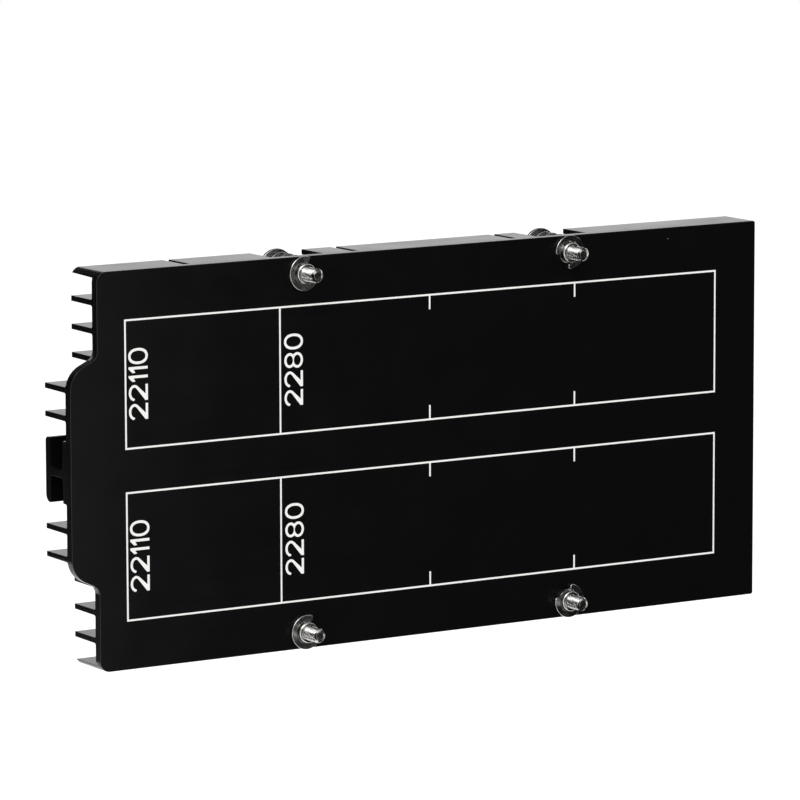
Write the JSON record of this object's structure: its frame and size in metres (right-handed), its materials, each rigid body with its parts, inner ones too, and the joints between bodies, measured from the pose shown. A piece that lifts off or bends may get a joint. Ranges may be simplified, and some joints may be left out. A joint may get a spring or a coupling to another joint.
{
  "type": "nvme adapter card heat sink",
  "caption": "Black anodised finned heat sink plate for an adapter card with M.2 drives, held by captive spring-loaded shoulder screws and marked with the drive lengths.",
  "frame": {"origin": "centre of the flat drive side, which is also the centre of the four-screw pattern", "axes": "-Y out of the flat drive side, where the threads stand out; +Y towards the fins and screw heads; +X along the plate, away from the tab; +Z across the plate"},
  "size_m": [0.1392, 0.0149, 0.0686],
  "materials": {
    "black_anodised": "black anodised, fine matte; white printed size marks on the drive side",
    "nickel_plated": "nickel plated, bright",
    "spring_steel": "plain drawn wire",
    "clip_steel": "stamped, tumbled bright"
  },
  "bodies": {
    "heat_sink": {"heat_sink": "black_anodised", "spring_1": "spring_steel", "spring_2": "spring_steel", "spring_3": "spring_steel", "spring_4": "spring_steel"},
    "clip_1": {"e_clip_1": "clip_steel"},
    "screw_1": {"screw_1": "nickel_plated"},
    "clip_2": {"e_clip_2": "clip_steel"},
    "screw_2": {"screw_2": "nickel_plated"},
    "clip_3": {"e_clip_3": "clip_steel"},
    "screw_3": {"screw_3": "nickel_plated"},
    "clip_4": {"e_clip_4": "clip_steel"},
    "screw_4": {"screw_4": "nickel_plated"}
  },
  "joints": [
    {"name": "plunge_1", "type": "slide", "parent": "heat_sink", "child": "clip_1", "axis": [0, -1, 0], "range_m": [0, 0.0035], "stiffness_N_per_m": 1900, "springref_m": -0.0015, "deforming": ["spring_1"]},
    {"name": "turn_1", "type": "hinge", "parent": "clip_1", "child": "screw_1", "pos_m": [-0.027, 0, 0.031], "axis": [0, 1, 0], "continuous": true},
    {"name": "plunge_2", "type": "slide", "parent": "heat_sink", "child": "clip_2", "axis": [0, -1, 0], "range_m": [0, 0.0035], "stiffness_N_per_m": 1900, "springref_m": -0.0015, "deforming": ["spring_2"]},
    {"name": "turn_2", "type": "hinge", "parent": "clip_2", "child": "screw_2", "pos_m": [0.027, 0, 0.031], "axis": [0, 1, 0], "continuous": true},
    {"name": "plunge_3", "type": "slide", "parent": "heat_sink", "child": "clip_3", "axis": [0, -1, 0], "range_m": [0, 0.0035], "stiffness_N_per_m": 1900, "springref_m": -0.0015, "deforming": ["spring_3"]},
    {"name": "turn_3", "type": "hinge", "parent": "clip_3", "child": "screw_3", "pos_m": [-0.027, 0, -0.031], "axis": [0, 1, 0], "continuous": true},
    {"name": "plunge_4", "type": "slide", "parent": "heat_sink", "child": "clip_4", "axis": [0, -1, 0], "range_m": [0, 0.0035], "stiffness_N_per_m": 1900, "springref_m": -0.0015, "deforming": ["spring_4"]},
    {"name": "turn_4", "type": "hinge", "parent": "clip_4", "child": "screw_4", "pos_m": [0.027, 0, -0.031], "axis": [0, 1, 0], "continuous": true}
  ]
}
